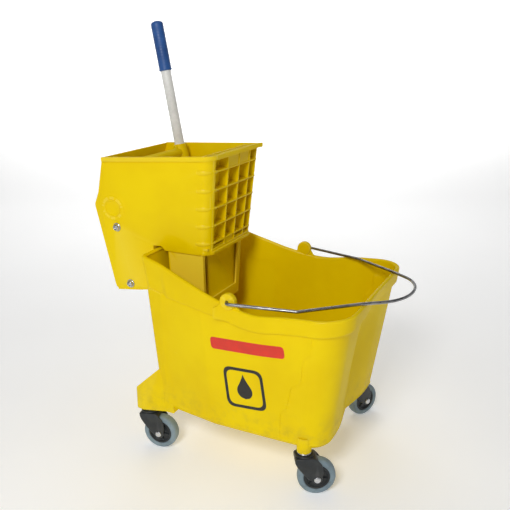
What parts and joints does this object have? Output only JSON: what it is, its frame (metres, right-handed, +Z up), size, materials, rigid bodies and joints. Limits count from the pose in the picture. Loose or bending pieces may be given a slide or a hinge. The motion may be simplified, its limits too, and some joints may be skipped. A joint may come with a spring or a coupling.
{
  "type": "mop bucket with wringer",
  "caption": "Wheeled mop bucket in moulded plastic with a wire bail handle and a lift-off side press wringer worked by a long lever.",
  "frame": {"origin": "on the floor, under the middle of the whole object's box", "axes": "+X towards the pour end, +Y towards the far side that the picture doesn't show, +Z up"},
  "size_m": [0.658, 0.4256, 0.8926],
  "materials": {
    "yellow_plastic": "glossy moulded plastic with a fine grain and scuffed edges",
    "white_paint": "smooth white powder coat",
    "blue_vinyl": "dipped vinyl, satin",
    "black_plastic": "satin black moulding",
    "grey_rubber": "blue-grey non-marking rubber",
    "bright_steel": "zinc plated",
    "wire_steel": "drawn steel wire, slightly dulled"
  },
  "bodies": {
    "bucket": {"bucket_shell": "yellow_plastic", "caster_stem_front_right": "bright_steel", "caster_stem_front_left": "bright_steel", "caster_stem_rear_right": "bright_steel", "caster_stem_rear_left": "bright_steel"},
    "bail": {"bail_handle": "wire_steel"},
    "wringer": {"wringer_housing": "yellow_plastic", "drain_sieve": "yellow_plastic", "pivot_shaft": "bright_steel", "tie_rod": "bright_steel", "hinge_rod": "bright_steel", "tie_rod_nut_near": "bright_steel", "tie_rod_nut_far": "bright_steel", "hinge_rod_nut_near": "bright_steel", "hinge_rod_nut_far": "bright_steel", "return_spring_near": "wire_steel", "return_spring_far": "wire_steel"},
    "lever": {"lever_yoke": "yellow_plastic", "lever_tube": "white_paint", "lever_grip": "blue_vinyl", "lever_bolt": "bright_steel", "lever_nut": "bright_steel"},
    "press": {"press_plate": "yellow_plastic"},
    "swivel_front_right": {"caster_fork_front_right": "black_plastic", "caster_raceway_front_right": "black_plastic", "axle_bolt_front_right": "bright_steel", "axle_nut_front_right": "bright_steel"},
    "wheel_front_right": {"wheel_hub_front_right": "black_plastic", "wheel_tyre_front_right": "grey_rubber"},
    "swivel_front_left": {"caster_fork_front_left": "black_plastic", "caster_raceway_front_left": "black_plastic", "axle_bolt_front_left": "bright_steel", "axle_nut_front_left": "bright_steel"},
    "wheel_front_left": {"wheel_hub_front_left": "black_plastic", "wheel_tyre_front_left": "grey_rubber"},
    "swivel_rear_right": {"caster_fork_rear_right": "black_plastic", "caster_raceway_rear_right": "black_plastic", "axle_bolt_rear_right": "bright_steel", "axle_nut_rear_right": "bright_steel"},
    "wheel_rear_right": {"wheel_hub_rear_right": "black_plastic", "wheel_tyre_rear_right": "grey_rubber"},
    "swivel_rear_left": {"caster_fork_rear_left": "black_plastic", "caster_raceway_rear_left": "black_plastic", "axle_bolt_rear_left": "bright_steel", "axle_nut_rear_left": "bright_steel"},
    "wheel_rear_left": {"wheel_hub_rear_left": "black_plastic", "wheel_tyre_rear_left": "grey_rubber"}
  },
  "joints": [
    {"name": "bail_swing", "type": "hinge", "parent": "bucket", "child": "bail", "pos_m": [0.026, -0.0058, 0.387], "axis": [0, -1, 0], "range_deg": [0, 95]},
    {"name": "wringer_lift", "type": "slide", "parent": "bucket", "child": "wringer", "axis": [0, 0, 1], "range_m": [0, 0.25]},
    {"name": "lever_pull", "type": "hinge", "parent": "wringer", "child": "lever", "pos_m": [-0.286, -0.0058, 0.516], "axis": [0, 1, 0], "range_deg": [0, 46], "stiffness_Nm_per_rad": 2, "springref_deg": -20.05, "deforming": ["return_spring_near", "return_spring_far"]},
    {"name": "plate_press", "type": "hinge", "parent": "wringer", "child": "press", "pos_m": [-0.261, -0.0058, 0.349], "axis": [0, 1, 0], "range_deg": [0, 18]},
    {"name": "swivel_turn_front_right", "type": "hinge", "parent": "bucket", "child": "swivel_front_right", "pos_m": [0.1715, -0.1668, 0.084], "axis": [0, 0, 1], "continuous": true},
    {"name": "wheel_spin_front_right", "type": "hinge", "parent": "swivel_front_right", "child": "wheel_front_right", "pos_m": [0.19337, -0.15468, 0.038], "axis": [-0.4848, 0.8746, 0], "continuous": true},
    {"name": "swivel_turn_front_left", "type": "hinge", "parent": "bucket", "child": "swivel_front_left", "pos_m": [0.1715, 0.1552, 0.084], "axis": [0, 0, 1], "continuous": true},
    {"name": "wheel_spin_front_left", "type": "hinge", "parent": "swivel_front_left", "child": "wheel_front_left", "pos_m": [0.184, 0.17685, 0.038], "axis": [-0.866, 0.5, 0], "continuous": true},
    {"name": "swivel_turn_rear_right", "type": "hinge", "parent": "bucket", "child": "swivel_rear_right", "pos_m": [-0.193, -0.1508, 0.084], "axis": [0, 0, 1], "continuous": true},
    {"name": "wheel_spin_rear_right", "type": "hinge", "parent": "swivel_rear_right", "child": "wheel_rear_right", "pos_m": [-0.16831, -0.14689, 0.038], "axis": [-0.1564, 0.9877, 0], "continuous": true},
    {"name": "swivel_turn_rear_left", "type": "hinge", "parent": "bucket", "child": "swivel_rear_left", "pos_m": [-0.193, 0.1392, 0.084], "axis": [0, 0, 1], "continuous": true},
    {"name": "wheel_spin_rear_left", "type": "hinge", "parent": "swivel_rear_left", "child": "wheel_rear_left", "pos_m": [-0.17303, 0.15425, 0.038], "axis": [-0.6018, 0.7986, 0], "continuous": true}
  ],
  "couplings": [
    {"joint": "plate_press", "follows": "lever_pull", "ratio": 0.39}
  ]
}
